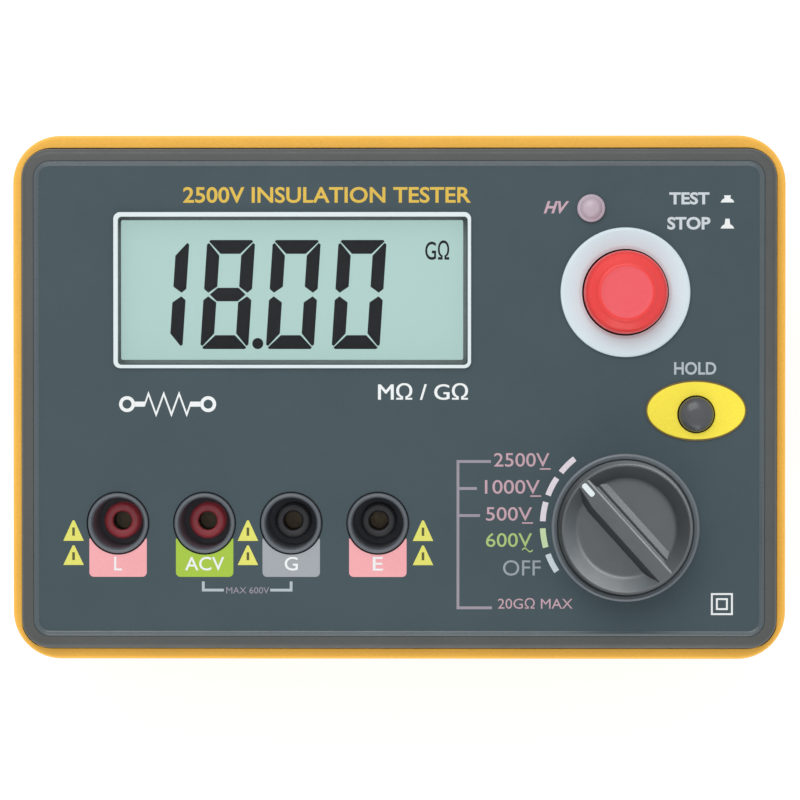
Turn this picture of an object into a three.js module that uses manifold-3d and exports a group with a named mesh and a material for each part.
// A bench insulation resistance tester: an orange tub with a dark front shell let into it,
// four shrouded test sockets, a liquid crystal display, a latching TEST button, a HOLD button
// and a five-way selector knob. Units are millimetres. The tester lies on its back on four
// feet: +X runs to the panel's right, +Y to the panel's top and +Z out of the panel. The
// origin is under the middle of the case, on the surface that the feet stand on.

import * as THREE from 'three';
import { mergeVertices } from 'three/addons/utils/BufferGeometryUtils.js';
import Module from 'manifold-3d';

const wasm = await Module();
wasm.setup();

// ---- driving dimensions ------------------------------------------------------------------

const GAP = 0.3;                 // clearance between pieces that are fitted into each other
const SIDES = { large: 36, medium: 22, small: 14, tiny: 10 };   // facets round a circle
const THIN_GAP = 0.1;            // clearance under thin trim that lies on the panel

const CASE = { width: 170, height: 115.2, corner: 10.5, bottom: 2, rim: 58 };
const CASE_DRAFT = 1.6;          // how far the tub's sides lean in from rim to base
const CASE_BASE_ROUND = 5;
const CASE_RIM_ROUND = 0.8;
const FLOOR_TOP = 6.4;
const LEDGE_Z = 52;              // the step in the tub's wall that carries the gasket

const SHELL = { width: 165.6, height: 109.6, corner: 6.3, shiftY: -0.2, bottom: 53.2, top: 62 };
const SHELL_ROUND = 2.6;
const SHELL_WALL = 2;
const PLATE_BOTTOM = 59;
const LIP_INSET = 3.4;           // from the shell's outline to the overlay's recess
const RECESS_FLOOR = 61.3;
const PANEL_Z = 61.8;            // the overlay's upper face

const PCB = { width: 137, height: 98, bottom: 38, top: 39.6 };

const DISPLAY = { x: -23.35, y: 23.57, width: 76.4, height: 32.2 };
const BEZEL_LINE = 1;
const BEZEL_TOP = 62.5;
const WINDOW = { bottom: 59.4, top: 60.9 };
const LCD = { bottom: 54.7, top: 57.5, overlap: 2 };

const KNOB = { x: 49.5, y: -28.3, topRadius: 14, footRadius: 14.8, bottom: 62.4, top: 72.6 };
const KNOB_DISH = { floor: 68.3, floorRadius: 9.4, rimRadius: 13.7 };
const KNOB_SLOPE = { radius: 11.4, z: 70.3 };   // where the dish's slope turns down to its floor
const KNOB_REST_ANGLE = 132;     // degrees from +X; the knob then points to the top of its scale
const GRIP = { tipHalf: 1, tailHalf: 1.7, flare: 1.5 };
const SHAFT = { radius: 3, bottom: 47.6 };
const ROTOR = { radius: 8.8, top: 51.6 };

const TEST = { x: 49.6, y: 23.1, radius: 9.2, ringRadius: 14.3, top: 69.5, skirt: 55, travel: 3.2 };
const TEST_ROOF = 4;             // thickness of the cap over its plunger
const PLUNGER = { radius: 2.5, bottom: 51.5 };
const TEST_SWITCH = { half: 5, top: 53.5 };
const HOLD = { x: 65.1, y: -3.6, radius: 4, top: 65, flange: 56.6, travel: 1.2 };
const HOLD_SWITCH = { half: 3, bodyTop: 49.6, top: 50.6 };
const HOLD_OVAL = { x: 65.1, y: -2.8, halfWidth: 10.7, halfHeight: 6.3 };
const LAMP = { x: 42.1, y: 41.5, radius: 3.05 };

const SOCKET_PITCH = 19;         // centres of neighbouring 4 mm test sockets
const SOCKET_Y = -27.5;
const SOCKET_MID_X = -33.1;
const SOCKET_NAMES = ['line', 'acv', 'guard', 'earth'];
const SLEEVE = { radius: 6.6, wellRadius: 5.5, flange: 8, top: 62.4, bottom: 40.6, floor: 42.8 };
const POST = { radius: 4, bore: 2.05, top: 49.8 };
const CONTACT = { radius: 2.5, pin: 1.2, seat: 2.9 };   // seat: the hole round the contact

const BOSS = { x: 74, y: 46, radius: 4.6, split: 42 };
const SCREW = { shank: 1.5, head: 3, headHeight: 2.2 };
const FOOT = { x: 62, y: 44, radius: 6, recess: 1 };
const PEGS = [[-64, -5], [27, 44], [-50, -44], [27, -44]];

const CELL = { radius: 7.1, length: 49.6, pitchY: 15.2, z: 16.2 };
const TRAY = { halfX: 54, halfY: 24, bottom: 8, top: 25.2, wall: 1.4 };
const COVER = { left: -58, right: 64, halfY: 27, top: 4.4, corner: 4 };
const COVER_SCREW_X = 59.5;

// ---- solids ------------------------------------------------------------------------------

function solidOf(geometry) {
  // The closed solid of a geometry, with its shared vertices merged.
  const plain = geometry.clone();
  plain.deleteAttribute('normal');
  plain.deleteAttribute('uv');
  const merged = mergeVertices(plain, 1e-4);
  const corners = merged.index.array;
  const triangles = [];
  for (let i = 0; i < corners.length; i += 3) {
    const [a, b, c] = corners.slice(i, i + 3);
    if (a !== b && b !== c && c !== a) triangles.push(a, b, c);
  }
  return new wasm.Manifold(new wasm.Mesh({
    numProp: 3,
    vertProperties: new Float32Array(merged.attributes.position.array),
    triVerts: facingOut(merged.attributes.position, triangles),
  }));
}

function facingOut(position, triangles) {
  // Turns the triangles over if their signed volume says that they face inward.
  const [a, b, c] = [new THREE.Vector3(), new THREE.Vector3(), new THREE.Vector3()];
  let volume = 0;
  for (let i = 0; i < triangles.length; i += 3) {
    a.fromBufferAttribute(position, triangles[i]);
    b.fromBufferAttribute(position, triangles[i + 1]);
    c.fromBufferAttribute(position, triangles[i + 2]);
    volume += a.dot(b.cross(c));
  }
  return new Uint32Array(volume < 0 ? triangles.reverse() : triangles);
}

function geometryOf(solid) {
  const mesh = solid.getMesh();
  const geometry = new THREE.BufferGeometry();
  geometry.setAttribute('position', new THREE.BufferAttribute(mesh.vertProperties, mesh.numProp));
  geometry.setIndex(new THREE.BufferAttribute(mesh.triVerts, 1));
  const faceted = geometry.toNonIndexed();
  faceted.computeVertexNormals();
  return faceted;
}

function join(...solids) {
  return solids.reduce((whole, piece) => whole.add(piece));
}

function cut(solid, ...tools) {
  return tools.reduce((rest, tool) => rest.subtract(tool), solid);
}

// ---- basic shapes, each returned as a solid ----------------------------------------------

function roundedRectangle(width, height, corner) {
  const [x, y] = [width / 2, height / 2];
  const shape = new THREE.Shape();
  shape.moveTo(x, -y + corner);
  shape.lineTo(x, y - corner);
  shape.absarc(x - corner, y - corner, corner, 0, Math.PI / 2);
  shape.lineTo(-x + corner, y);
  shape.absarc(-x + corner, y - corner, corner, Math.PI / 2, Math.PI);
  shape.lineTo(-x, -y + corner);
  shape.absarc(-x + corner, -y + corner, corner, Math.PI, 1.5 * Math.PI);
  shape.lineTo(x - corner, -y);
  shape.absarc(x - corner, -y + corner, corner, 1.5 * Math.PI, 2 * Math.PI);
  return shape;
}

function slab(shape, bottom, top, curveSegments = 1) {
  const geometry = new THREE.ExtrudeGeometry(shape, {
    depth: top - bottom,
    bevelEnabled: false,
    curveSegments,
  });
  geometry.translate(0, 0, bottom);
  return solidOf(geometry);
}

function block(x0, x1, y0, y1, z0, z1) {
  const geometry = new THREE.BoxGeometry(x1 - x0, y1 - y0, z1 - z0);
  geometry.translate((x0 + x1) / 2, (y0 + y1) / 2, (z0 + z1) / 2);
  return solidOf(geometry);
}

function rod(radius, bottom, top, x = 0, y = 0, segments = SIDES.small) {
  const geometry = new THREE.CylinderGeometry(radius, radius, top - bottom, segments);
  geometry.rotateX(Math.PI / 2);
  geometry.translate(x, y, (bottom + top) / 2);
  return solidOf(geometry);
}

function turned(profile, segments = SIDES.medium) {
  // A body of revolution about Z. The profile is a list of [radius, z].
  const points = profile.map(([radius, z]) => new THREE.Vector2(radius, z));
  const geometry = new THREE.LatheGeometry(points, segments);
  geometry.rotateX(Math.PI / 2);
  return solidOf(geometry);
}

function closed(profile) {
  return [...profile, profile[0]];
}

function moulded({ width, height, corner, shiftY = 0 }, levels, curveSegments = 3) {
  // A rounded rectangle whose outline is inset by a different amount at each level. levels is a
  // list of [z, inset] from the bottom up, and no inset is larger than the corner's radius.
  const shape = roundedRectangle(width, height, corner);
  const steps = levels.length - 1;
  const geometry = new THREE.ExtrudeGeometry(shape, {
    depth: steps,
    steps,
    bevelEnabled: false,
    curveSegments,
  });
  const position = geometry.attributes.position;
  for (let i = 0; i < position.count; i += 1) {
    const [z, inset] = levels[Math.round(position.getZ(i))];
    const centreX = Math.sign(position.getX(i)) * (width / 2 - corner);
    const centreY = Math.sign(position.getY(i)) * (height / 2 - corner);
    const keep = (corner - inset) / corner;
    position.setXYZ(
      i,
      centreX + (position.getX(i) - centreX) * keep,
      centreY + (position.getY(i) - centreY) * keep + shiftY,
      z,
    );
  }
  return solidOf(geometry);
}

function inset(outline, amount) {
  return {
    ...outline,
    width: outline.width - 2 * amount,
    height: outline.height - 2 * amount,
    corner: outline.corner - amount,
  };
}

function roundedEnd(z, radius, baseInset, towards, steps = 3) {
  // Levels of a quarter round that ends at height z, going up (towards 1) or down (towards -1).
  const levels = [];
  for (let i = 0; i <= steps; i += 1) {
    const angle = (i / steps) * (Math.PI / 2);
    const height = z - towards * radius * (1 - Math.sin(angle));
    levels.push([height, baseInset + radius * (1 - Math.cos(angle))]);
  }
  return towards > 0 ? levels : levels.reverse();
}

function oval(halfWidth, halfHeight) {
  const shape = new THREE.Shape();
  shape.absellipse(0, 0, halfWidth, halfHeight, 0, 2 * Math.PI);
  return shape;
}

// ---- finishes ----------------------------------------------------------------------------

function finish(color, roughness, metalness = 0) {
  return new THREE.MeshStandardMaterial({ color, roughness, metalness });
}

const FINISH = {
  orange: finish(0xe8a548, 0.5),
  shell: finish(0x4f5455, 0.6),
  overlay: finish(0x4d5c61, 0.55),
  black: finish(0x25282a, 0.5),
  rubber: finish(0x2f3133, 0.9),
  white: finish(0xebf5f8, 0.4),
  clear: finish(0xe6f0f2, 0.05),
  lcd: finish(0xb3d3ce, 0.25),
  red: finish(0xf04646, 0.4),
  redPost: finish(0xa04048, 0.4),
  paleGrey: finish(0xd2e4e9, 0.5),
  yellow: finish(0xfae146, 0.5),
  hold: finish(0x5a5c5e, 0.4),
  knob: finish(0x5c6164, 0.5),
  lamp: finish(0xbea5b4, 0.2),
  steel: finish(0x9a9da0, 0.35, 1),
  brass: finish(0xb08d4a, 0.35, 1),
  board: finish(0x2f6b45, 0.5),
  cell: finish(0x3a4a78, 0.4),
  ferrite: finish(0x3b3b3d, 0.7),
};

function named(name, solid, material) {
  const mesh = new THREE.Mesh(geometryOf(solid), material);
  mesh.name = name;
  return mesh;
}

function placed(x, y, ...children) {
  const group = new THREE.Group();
  group.position.set(x, y, 0);
  group.add(...children);
  return group;
}

function atCorners({ x, y }) {
  return [[-x, -y], [x, -y], [-x, y], [x, y]];
}

// ---- case --------------------------------------------------------------------------------

const COVER_OUTLINE = {
  width: COVER.right - COVER.left,
  height: 2 * COVER.halfY,
  corner: COVER.corner,
};
const COVER_MID_X = (COVER.left + COVER.right) / 2;

function rearCase() {
  const outside = moulded(CASE, [
    ...roundedEnd(CASE.bottom, CASE_BASE_ROUND, CASE_DRAFT, -1, 3),
    ...roundedEnd(CASE.rim, CASE_RIM_ROUND, 0, 1, 2),
  ]);
  const pocket = moulded(inset(SHELL, -GAP), [[LEDGE_Z, 0], [CASE.rim + 1, 0]]);
  const cavity = moulded(inset(SHELL, 1.6), [[FLOOR_TOP, CASE_DRAFT], [LEDGE_Z + 1, 0]]);
  const bosses = atCorners(BOSS).map(([x, y]) => rod(BOSS.radius, FLOOR_TOP - 1, BOSS.split, x, y));
  const coverBoss = rod(4, FLOOR_TOP - 1, 13, COVER_SCREW_X, 0);
  const screwHoles = atCorners(BOSS).flatMap(([x, y]) => [
    rod(SCREW.shank + 0.4, CASE.bottom - 1, BOSS.split + 1, x, y, SIDES.tiny),
    rod(SCREW.head + 0.6, CASE.bottom - 1, CASE.bottom + 3, x, y),
  ]);
  const footSeats = atCorners(FOOT).map(([x, y]) => (
    rod(FOOT.radius + GAP, CASE.bottom - 1, CASE.bottom + FOOT.recess, x, y, SIDES.medium)
  ));
  const coverSeat = slab(roundedRectangle(
    COVER_OUTLINE.width + 2 * GAP,
    COVER_OUTLINE.height + 2 * GAP,
    COVER_OUTLINE.corner + GAP,
  ), CASE.bottom - 1, COVER.top + GAP, 2).translate([COVER_MID_X, 0, 0]);
  const batteryHole = block(-TRAY.halfX, TRAY.halfX, -TRAY.halfY, TRAY.halfY, 0, FLOOR_TOP + 1);
  const coverScrewHole = rod(SCREW.shank + 0.4, CASE.bottom, 12, COVER_SCREW_X, 0, SIDES.tiny);
  return cut(
    join(cut(outside, pocket, cavity), ...bosses, coverBoss),
    ...screwHoles,
    ...footSeats,
    coverSeat,
    batteryHole,
    coverScrewHole,
  );
}

function caseGasket() {
  const outer = moulded(inset(SHELL, GAP), [[LEDGE_Z + THIN_GAP, 0], [SHELL.bottom - THIN_GAP, 0]]);
  return cut(outer, moulded(inset(SHELL, 1.5), [[LEDGE_Z, 0], [SHELL.bottom, 0]]));
}

function panelHoles(bottom, top) {
  // Every hole that goes through both the front shell's plate and the overlay.
  const sockets = socketPlaces().map((x) => (
    rod(SLEEVE.radius + GAP, bottom, top, x, SOCKET_Y, SIDES.medium)
  ));
  return [
    ...sockets,
    slab(roundedRectangle(DISPLAY.width, DISPLAY.height, 1), bottom, top)
      .translate([DISPLAY.x, DISPLAY.y, 0]),
    rod(TEST.radius + 0.5, bottom, top, TEST.x, TEST.y, SIDES.large),
    rod(HOLD.radius + GAP, bottom, top, HOLD.x, HOLD.y, SIDES.medium),
    rod(LAMP.radius - 0.2, bottom, top, LAMP.x, LAMP.y, SIDES.medium),
    rod(5, bottom, top, KNOB.x, KNOB.y),
  ];
}

function frontCase() {
  const outside = moulded(SHELL, [
    [SHELL.bottom, 0],
    ...roundedEnd(SHELL.top, SHELL_ROUND, 0, 1, 3),
  ]);
  const hollow = moulded(inset(SHELL, SHELL_WALL), [[SHELL.bottom - 1, 0], [PLATE_BOTTOM, 0]]);
  const recess = moulded(inset(SHELL, LIP_INSET), [[RECESS_FLOOR, 0], [SHELL.top + 1, 0]]);
  const bosses = atCorners(BOSS).map(([x, y]) => (
    rod(BOSS.radius - 0.4, BOSS.split + GAP, PLATE_BOTTOM + 1, x, y)
  ));
  const bossHoles = atCorners(BOSS).map(([x, y]) => (
    rod(SCREW.shank + 0.4, BOSS.split - 1, 54, x, y, SIDES.tiny)
  ));
  const pegs = PEGS.flatMap(([x, y]) => [
    rod(2.6, PCB.top + GAP, PLATE_BOTTOM + 1, x, y, SIDES.tiny),
    rod(1.2, PCB.bottom - 0.8, PCB.top + 1, x, y, SIDES.tiny),
  ]);
  return cut(
    join(cut(outside, hollow, recess), ...bosses, ...pegs),
    ...bossHoles,
    ...panelHoles(PLATE_BOTTOM - 1, SHELL.top),
  );
}

function panelOverlay() {
  const outline = inset(SHELL, LIP_INSET + 0.2);
  const sheet = moulded(outline, [[RECESS_FLOOR + THIN_GAP, 0], [PANEL_Z, 0]]);
  return cut(sheet, ...panelHoles(RECESS_FLOOR, SHELL.top));
}

function screw(length) {
  // A pan-head screw that points up, with its head's underside facing down at z = 0.
  const body = turned([
    [0, 0], [SCREW.head - 0.7, 0], [SCREW.head, 0.7], [SCREW.head, SCREW.headHeight],
    [SCREW.shank, SCREW.headHeight], [SCREW.shank, length - 1], [SCREW.shank - 0.8, length],
    [0, length],
  ], SIDES.small);
  const slot = (turn) => block(-1.9, 1.9, -0.35, 0.35, -1, 1.2).rotate([0, 0, turn]);
  return cut(body, slot(0), slot(90));
}

function batteryCover() {
  const plate = slab(roundedRectangle(
    COVER_OUTLINE.width,
    COVER_OUTLINE.height,
    COVER_OUTLINE.corner,
  ), CASE.bottom, COVER.top, 2).translate([COVER_MID_X, 0, 0]);
  const hooks = [-14, 14].flatMap((y) => [
    block(-53.6, -51.6, y - 4, y + 4, COVER.top - 1, FLOOR_TOP + 1.3),
    block(-56.6, -52, y - 4, y + 4, FLOOR_TOP + GAP, FLOOR_TOP + 1.3),
  ]);
  const grooves = [];
  for (let x = 40; x <= 52; x += 3) {
    grooves.push(block(x, x + 1.2, -14, 14, CASE.bottom - 1, CASE.bottom + 0.6));
  }
  return cut(
    join(plate, ...hooks),
    ...grooves,
    rod(SCREW.head + 0.4, CASE.bottom - 1, CASE.bottom + 1.6, COVER_SCREW_X, 0),
    rod(SCREW.shank + 0.3, CASE.bottom - 1, COVER.top + 1, COVER_SCREW_X, 0, SIDES.tiny),
  );
}

function coverScrew() {
  const body = turned([
    [0, 0], [2.5, 0], [3, 0.4], [3, 1.2], [1.5, 1.2], [1.5, 8], [0.9, 8.8], [0, 8.8],
  ], SIDES.small);
  const slot = (turn) => block(-1.7, 1.7, -0.35, 0.35, -1, 0.7).rotate([0, 0, turn]);
  return cut(body, slot(0), slot(90));
}

function foot() {
  return turned([
    [0, 0], [FOOT.radius - 0.8, 0], [FOOT.radius, 0.8],
    [FOOT.radius, CASE.bottom + FOOT.recess - GAP], [0, CASE.bottom + FOOT.recess - GAP],
  ]);
}

// ---- display -----------------------------------------------------------------------------

function displayFrame(outerGrow, innerGrow, bottom, top, corner = 1) {
  const [width, height] = [DISPLAY.width, DISPLAY.height];
  const outer = roundedRectangle(width + 2 * outerGrow, height + 2 * outerGrow, corner);
  outer.holes.push(roundedRectangle(width + 2 * innerGrow, height + 2 * innerGrow, corner * 0.6));
  return slab(outer, bottom, top);
}

function displayPlate(grow, bottom, top, corner = 1) {
  const shape = roundedRectangle(DISPLAY.width + 2 * grow, DISPLAY.height + 2 * grow, corner);
  return slab(shape, bottom, top);
}

function display() {
  const bezel = displayFrame(BEZEL_LINE, 0, PANEL_Z + THIN_GAP, BEZEL_TOP);
  const holder = displayFrame(4.6, LCD.overlap + GAP, PCB.top + GAP, PLATE_BOTTOM - GAP);
  const strip = block(-36, 36, -17.4, -15.2, PCB.top + GAP, LCD.bottom - GAP);
  return placed(
    DISPLAY.x,
    DISPLAY.y,
    named('display_bezel', bezel, FINISH.white),
    named('display_window', displayPlate(-GAP, WINDOW.bottom, WINDOW.top), FINISH.clear),
    named('lcd_glass', displayPlate(LCD.overlap, LCD.bottom, LCD.top), FINISH.lcd),
    named('lcd_holder', holder, FINISH.black),
    named('zebra_strip', strip, FINISH.rubber),
  );
}

// ---- push buttons and lamp ---------------------------------------------------------------

function spring(bottom, top, radius, wire, turns) {
  // A compression spring: a round wire swept along a helix.
  const points = [];
  const pointsPerTurn = 10;
  for (let i = 0; i <= turns * pointsPerTurn; i += 1) {
    const angle = (2 * Math.PI * i) / pointsPerTurn;
    const z = bottom + wire + ((top - bottom - 2 * wire) * i) / (turns * pointsPerTurn);
    points.push(new THREE.Vector3(radius * Math.cos(angle), radius * Math.sin(angle), z));
  }
  const section = new THREE.Shape();
  section.absarc(0, 0, wire, 0, 2 * Math.PI);
  const geometry = new THREE.ExtrudeGeometry(section, {
    steps: turns * pointsPerTurn,
    bevelEnabled: false,
    curveSegments: 3,
    extrudePath: new THREE.CatmullRomCurve3(points),
  });
  return solidOf(geometry);
}

function testButton() {
  const { radius, top, ringRadius, skirt } = TEST;
  const roof = top - TEST_ROOF;
  const bore = radius - 1.3;
  const cap = turned([
    [0, top - 0.3], [4, top - 0.15], [5.6, top], [6.1, top - 0.25], [8.2, top - 1.9],
    [8.9, top - 2.7], [radius, top - 3.6], [radius, skirt], [bore, skirt], [bore, roof], [0, roof],
  ], SIDES.large);
  const ringBottom = PANEL_Z + THIN_GAP;
  const ringTop = PANEL_Z + 1;
  const ring = turned(closed([
    [radius + 0.5, ringBottom], [ringRadius, ringBottom], [ringRadius, ringTop - 0.4],
    [ringRadius - 0.5, ringTop], [radius + 1.2, ringTop], [radius + 0.5, ringTop - 0.5],
  ]), SIDES.large);
  const { half, top: bodyTop } = TEST_SWITCH;
  const switchBody = cut(
    block(-half, half, -half, half, PCB.top + GAP, bodyTop),
    rod(PLUNGER.radius + GAP, PLUNGER.bottom - TEST.travel - 1, bodyTop + 1),
  );
  const plunger = turned([
    [0, PLUNGER.bottom], [PLUNGER.radius - 0.4, PLUNGER.bottom],
    [PLUNGER.radius, PLUNGER.bottom + 0.4], [PLUNGER.radius, roof - GAP], [0, roof - GAP],
  ], SIDES.small);
  const coil = spring(bodyTop + GAP, roof - GAP, 3.8, 0.4, 5);
  return placed(
    TEST.x,
    TEST.y,
    named('test_button_cap', cap, FINISH.red),
    named('test_button_ring', ring, FINISH.paleGrey),
    named('test_switch_body', switchBody, FINISH.black),
    named('test_switch_plunger', plunger, FINISH.white),
    named('test_switch_spring', coil, FINISH.steel),
  );
}

function holdButton() {
  const { radius, top, flange, travel } = HOLD;
  const stem = HOLD_SWITCH.top + travel + GAP;
  const collar = radius + 1.2;
  const button = turned([
    [0, stem], [2.4, stem], [2.4, flange], [collar, flange], [collar, flange + 1.4],
    [radius, flange + 1.4], [radius, top - 2],
    [radius * 0.92, top - 1.1], [radius * 0.7, top - 0.45], [radius * 0.38, top - 0.1], [0, top],
  ]);
  const { half, bodyTop } = HOLD_SWITCH;
  const body = join(
    block(-half, half, -half, half, PCB.top + GAP, bodyTop),
    rod(1.7, bodyTop - 1, HOLD_SWITCH.top, 0, 0, SIDES.tiny),
  );
  const ovalShape = oval(HOLD_OVAL.halfWidth, HOLD_OVAL.halfHeight);
  const bezel = cut(
    slab(ovalShape, PANEL_Z + THIN_GAP, PANEL_Z + 0.6, SIDES.large / 2),
    rod(radius + GAP, PANEL_Z, SHELL.top + 1, 0, 0, SIDES.medium)
      .translate([HOLD.x - HOLD_OVAL.x, HOLD.y - HOLD_OVAL.y, 0]),
  );
  return [
    placed(
      HOLD.x,
      HOLD.y,
      named('hold_button', button, FINISH.hold),
      named('hold_switch', body, FINISH.black),
    ),
    placed(HOLD_OVAL.x, HOLD_OVAL.y, named('hold_bezel', bezel, FINISH.yellow)),
  ];
}

function lamp() {
  const { radius } = LAMP;
  const lens = turned([
    [0, 57.5], [radius - 0.5, 57.5], [radius - 0.5, PANEL_Z + THIN_GAP],
    [radius, PANEL_Z + THIN_GAP], [radius, 62.5], [radius * 0.86, 63.4], [radius * 0.5, 64.1],
    [0, 64.4],
  ]);
  const spacerTop = 51;
  const led = turned([
    [0, PCB.top + GAP], [1.9, PCB.top + GAP], [1.9, spacerTop], [1.5, spacerTop],
    [1.5, 55.4], [1.1, 56.5], [0, 57],
  ], SIDES.tiny);
  return placed(
    LAMP.x,
    LAMP.y,
    named('hv_lamp_lens', lens, FINISH.lamp),
    named('hv_led', led, FINISH.red),
  );
}

// ---- selector ----------------------------------------------------------------------------

function gripBar() {
  // The raised bar across the dish, lying along +X: narrow at its tip, with sloping sides.
  const { tipHalf, tailHalf, flare } = GRIP;
  const reach = KNOB_DISH.rimRadius + 0.1;
  const taperAt = (x) => tailHalf + ((tipHalf - tailHalf) * (x + reach)) / (2 * reach);
  const shape = new THREE.Shape();
  shape.moveTo(-reach, -taperAt(-reach));
  shape.lineTo(reach, -taperAt(reach));
  shape.lineTo(reach, taperAt(reach));
  shape.lineTo(-reach, taperAt(-reach));
  const geometry = new THREE.ExtrudeGeometry(shape, {
    depth: KNOB.top - KNOB_DISH.floor + 1,
    bevelEnabled: false,
  });
  const position = geometry.attributes.position;
  for (let i = 0; i < position.count; i += 1) {
    const isFoot = position.getZ(i) < 0.5;
    const spread = isFoot ? Math.sign(position.getY(i)) * flare : 0;
    position.setY(i, position.getY(i) + spread);
  }
  geometry.translate(0, 0, KNOB_DISH.floor - 1);
  return solidOf(geometry).intersect(rod(reach, KNOB.bottom, KNOB.top + 1, 0, 0, SIDES.large));
}

function selector() {
  const { topRadius, footRadius, bottom, top } = KNOB;
  const { floor, floorRadius, rimRadius } = KNOB_DISH;
  const dish = turned([
    [0, bottom], [footRadius - 0.3, bottom], [footRadius, bottom + 0.5],
    [footRadius - 0.2, bottom + 3], [topRadius, top - 0.5], [topRadius - 0.2, top],
    [rimRadius, top], [KNOB_SLOPE.radius, KNOB_SLOPE.z], [floorRadius + 0.6, floor + 0.4],
    [floorRadius, floor], [0, floor],
  ], SIDES.large);
  const { radius: shaftRadius, bottom: shaftBottom } = SHAFT;
  const boreTop = floor - 0.8;
  const pointerSeat = block(8.9, 13, -0.75, 0.75, top - 0.5, top + 1);
  const knob = cut(
    join(dish, gripBar()),
    rod(shaftRadius + GAP, bottom - 1, boreTop),
    pointerSeat,
  );
  const pointer = block(9.1, 12.8, -0.55, 0.55, top - 0.4, top);
  const shaft = cut(
    rod(shaftRadius, shaftBottom, boreTop - GAP),
    block(shaftRadius * 0.7, shaftRadius + 1, -4, 4, bottom, boreTop),
  );
  const rotor = cut(
    rod(ROTOR.radius, shaftBottom, ROTOR.top, 0, 0, SIDES.medium),
    rod(shaftRadius + GAP, shaftBottom - 1, ROTOR.top + 1),
  );
  const switchBody = cut(
    join(
      slab(roundedRectangle(24, 24, 3), PCB.top + GAP, ROTOR.top + 1.4),
      rod(4.6, ROTOR.top, RECESS_FLOOR),
    ),
    rod(ROTOR.radius + 0.4, PCB.top, ROTOR.top + 0.4, 0, 0, SIDES.medium),
    rod(shaftRadius + GAP, PCB.top, PANEL_Z),
  );
  const escutcheon = turned(closed([
    [15.3, PANEL_Z + THIN_GAP], [16.4, PANEL_Z + THIN_GAP], [16.3, PANEL_Z + 0.5],
    [15.9, PANEL_Z + 0.7], [15.4, PANEL_Z + 0.5],
  ]), SIDES.large);
  const turning = new THREE.Group();
  turning.rotation.z = THREE.MathUtils.degToRad(KNOB_REST_ANGLE);
  turning.add(
    named('selector_knob', knob, FINISH.knob),
    named('knob_pointer', pointer, FINISH.white),
    named('selector_shaft', shaft, FINISH.steel),
    named('rotary_switch_rotor', rotor, FINISH.brass),
  );
  return placed(
    KNOB.x,
    KNOB.y,
    turning,
    named('knob_escutcheon', escutcheon, FINISH.shell),
    named('rotary_switch_body', switchBody, FINISH.black),
  );
}

// ---- test sockets ------------------------------------------------------------------------

function socketPlaces() {
  return SOCKET_NAMES.map((_, i) => SOCKET_MID_X + (i - 1.5) * SOCKET_PITCH);
}

function socket(name, x) {
  const { radius, wellRadius, flange, top, bottom, floor } = SLEEVE;
  const flangeTop = PLATE_BOTTOM - GAP;
  const sleeve = turned(closed([
    [CONTACT.seat, bottom], [radius, bottom], [radius, flangeTop - 2.2], [flange, flangeTop - 2.2],
    [flange, flangeTop], [radius, flangeTop], [radius, top - 0.3], [radius - 0.3, top],
    [wellRadius + 0.3, top], [wellRadius, top - 0.4], [wellRadius, floor], [CONTACT.seat, floor],
  ]));
  const lipBottom = POST.top - 0.9;
  const post = turned(closed([
    [CONTACT.seat, floor + GAP], [POST.radius, floor + GAP], [POST.radius, POST.top - 0.4],
    [POST.radius - 0.4, POST.top], [POST.bore + 0.4, POST.top], [POST.bore, POST.top - 0.4],
    [POST.bore, lipBottom], [CONTACT.seat, lipBottom],
  ]), SIDES.small);
  const contact = turned([
    [0, PCB.bottom - 1.4], [CONTACT.pin, PCB.bottom - 1.4], [CONTACT.pin, PCB.top + 0.6],
    [CONTACT.radius, PCB.top + 0.6], [CONTACT.radius, lipBottom - GAP],
    [POST.bore, lipBottom - GAP], [POST.bore, bottom + 0.6], [0, bottom + 0.6],
  ], SIDES.small);
  const isLive = name === 'line' || name === 'acv';
  return placed(
    x,
    SOCKET_Y,
    named(`socket_sleeve_${name}`, sleeve, FINISH.black),
    named(`socket_post_${name}`, post, isLive ? FINISH.redPost : FINISH.black),
    named(`socket_contact_${name}`, contact, FINISH.brass),
  );
}

// ---- circuit board and batteries ---------------------------------------------------------

function mainBoard() {
  const sheet = slab(roundedRectangle(PCB.width, PCB.height, 3), PCB.bottom, PCB.top);
  const pinPlaces = socketPlaces().map((x) => [x, SOCKET_Y]);
  const holes = [...PEGS, ...pinPlaces].map(([x, y]) => (
    rod(1.5, PCB.bottom - 1, PCB.top + 1, x, y, SIDES.tiny)
  ));
  return cut(sheet, ...holes);
}

function boardParts() {
  const hangingTop = PCB.bottom - GAP;
  const transformer = join(
    block(-13, 13, -9, 9, 28, 36),
    block(-9, 9, -13, 13, 29, 35),
    block(-11, 11, -7, 7, 26.5, hangingTop),
  );
  const can = rod(5, -11, 11).rotate([0, 90, 0]).translate([0, 0, hangingTop - 5.2]);
  const chip = block(-7, 7, -7, 7, hangingTop - 1.6, hangingTop);
  const fuseTube = rod(2.6, -10, 10, 0, 0, SIDES.tiny)
    .rotate([0, 90, 0])
    .translate([0, 0, hangingTop - 4]);
  const clips = [-9, 9].map((x) => block(x - 1.5, x + 1.5, -3, 3, hangingTop - 5, hangingTop));
  return [
    placed(45, 28, named('hv_transformer', transformer, FINISH.ferrite)),
    placed(8, 36, named('hv_capacitor', can, FINISH.cell)),
    placed(-30, 20, named('controller_chip', chip, FINISH.black)),
    placed(-30, -38, named('input_fuse', join(fuseTube, ...clips), FINISH.steel)),
  ];
}

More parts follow.
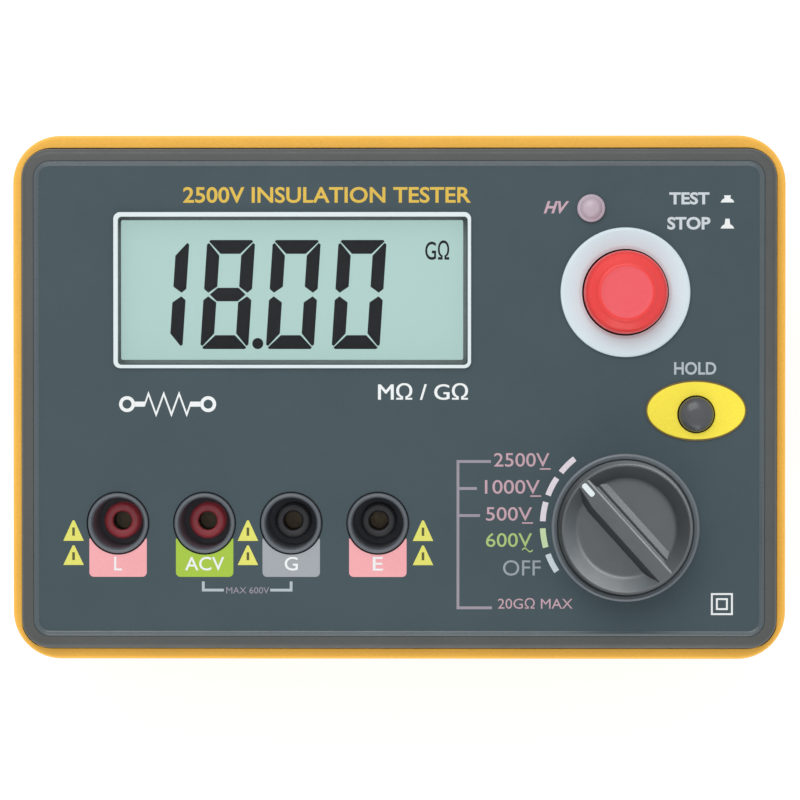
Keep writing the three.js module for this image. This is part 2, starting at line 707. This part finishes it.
function batteryTray() {
  const { halfX, halfY, bottom, top, wall } = TRAY;
  const shell = block(-halfX, halfX, -halfY, halfY, bottom, top);
  const bays = [-1, 1].map((side) => {
    const [near, far] = [0.8, halfX - wall];
    const [x0, x1] = side > 0 ? [near, far] : [-far, -near];
    return block(x0, x1, -halfY + wall, halfY - wall, bottom - 1, top - wall);
  });
  const ribs = [-0.5, 0.5].flatMap((row) => [-26.4, 26.4].map((x) => (
    block(x - 12, x + 12, row * CELL.pitchY - 0.5, row * CELL.pitchY + 0.5, 19, top - 0.5)
  )));
  return join(cut(shell, ...bays), ...ribs);
}

function cell() {
  // An AA cell lying along +X, with its raised positive button at the +X end.
  const { radius, length } = CELL;
  const half = length / 2;
  const geometry = new THREE.LatheGeometry([
    [0, -half], [radius - 0.5, -half], [radius, -half + 0.5], [radius, half - 1.6],
    [radius - 0.6, half - 1.1], [2.7, half - 1.1], [2.7, half], [0, half],
  ].map(([r, along]) => new THREE.Vector2(r, along)), SIDES.small);
  geometry.rotateZ(-Math.PI / 2);
  return solidOf(geometry);
}

function batteries() {
  const group = new THREE.Group();
  group.add(named('battery_tray', batteryTray(), FINISH.black));
  let number = 0;
  for (const column of [-1, 1]) {
    for (const row of [-1, 0, 1]) {
      number += 1;
      const mesh = named(`battery_cell_${number}`, cell(), FINISH.cell);
      mesh.position.set(column * 26.4, row * CELL.pitchY, CELL.z);
      group.add(mesh);
    }
  }
  return group;
}

// ---- assembly ----------------------------------------------------------------------------

const tester = new THREE.Group();
tester.add(
  named('rear_case', rearCase(), FINISH.orange),
  named('case_gasket', caseGasket(), FINISH.rubber),
  named('front_case', frontCase(), FINISH.shell),
  named('panel_overlay', panelOverlay(), FINISH.overlay),
  named('battery_cover', batteryCover(), FINISH.orange),
  display(),
  testButton(),
  ...holdButton(),
  lamp(),
  selector(),
  named('main_pcb', mainBoard(), FINISH.board),
  ...boardParts(),
  batteries(),
);

socketPlaces().forEach((x, i) => tester.add(socket(SOCKET_NAMES[i], x)));

atCorners(BOSS).forEach(([x, y], i) => {
  const mesh = named(`case_screw_${i + 1}`, screw(48), FINISH.steel);
  mesh.position.set(x, y, CASE.bottom + 0.4);
  tester.add(mesh);
});

atCorners(FOOT).forEach(([x, y], i) => {
  const mesh = named(`foot_${i + 1}`, foot(), FINISH.rubber);
  mesh.position.set(x, y, 0);
  tester.add(mesh);
});

const coverScrewMesh = named('battery_cover_screw', coverScrew(), FINISH.steel);
coverScrewMesh.position.set(COVER_SCREW_X, 0, CASE.bottom + 0.3);
tester.add(coverScrewMesh);

export default tester;
